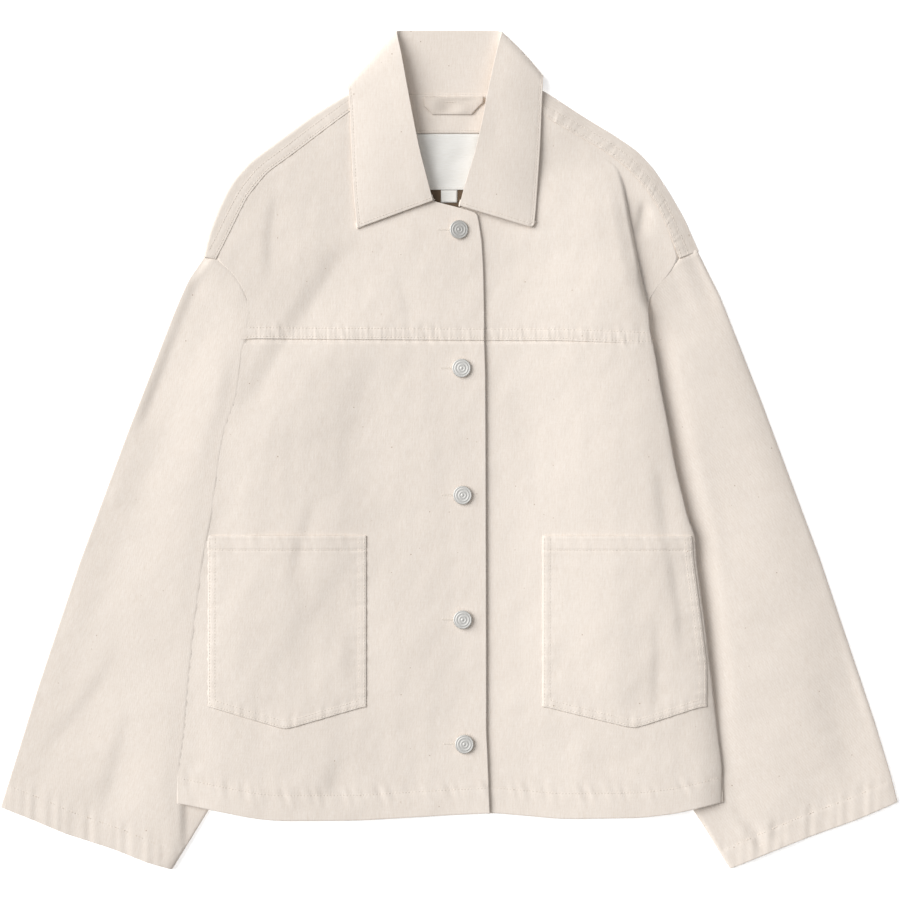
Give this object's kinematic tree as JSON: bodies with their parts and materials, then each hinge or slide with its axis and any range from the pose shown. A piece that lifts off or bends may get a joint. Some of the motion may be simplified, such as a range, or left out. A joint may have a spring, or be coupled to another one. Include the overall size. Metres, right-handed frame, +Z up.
{
  "type": "denim jacket",
  "caption": "Boxy undyed cotton denim jacket laid flat and buttoned, with a rolled pointed collar, dropped shoulders, a straight front yoke seam and pointed patch pockets.",
  "frame": {"origin": "on the surface the jacket lies on, under the middle of its outline", "axes": "+X to the viewer's right across the front, +Y towards the collar, +Z up from the surface"},
  "size_m": [0.8504, 0.7957, 0.0146],
  "materials": {
    "denim": "undyed cotton twill, matt, with small brown flecks",
    "label_cloth": "smooth woven satin label, bare",
    "button_metal": "satin nickel plate"
  },
  "bodies": {
    "root": {"back_panel": "denim", "front_right_yoke": "denim", "front_left_yoke": "denim", "front_right_panel": "denim", "front_left_panel": "denim", "sleeve_right": "denim", "sleeve_left": "denim", "collar": "denim", "neck_facing": "denim", "hanger_loop": "denim", "label": "label_cloth", "size_tab": "label_cloth", "pocket_right": "denim", "pocket_left": "denim", "button_1": "button_metal", "button_2": "button_metal", "button_3": "button_metal", "button_4": "button_metal", "button_5": "button_metal"}
  },
  "joints": []
}
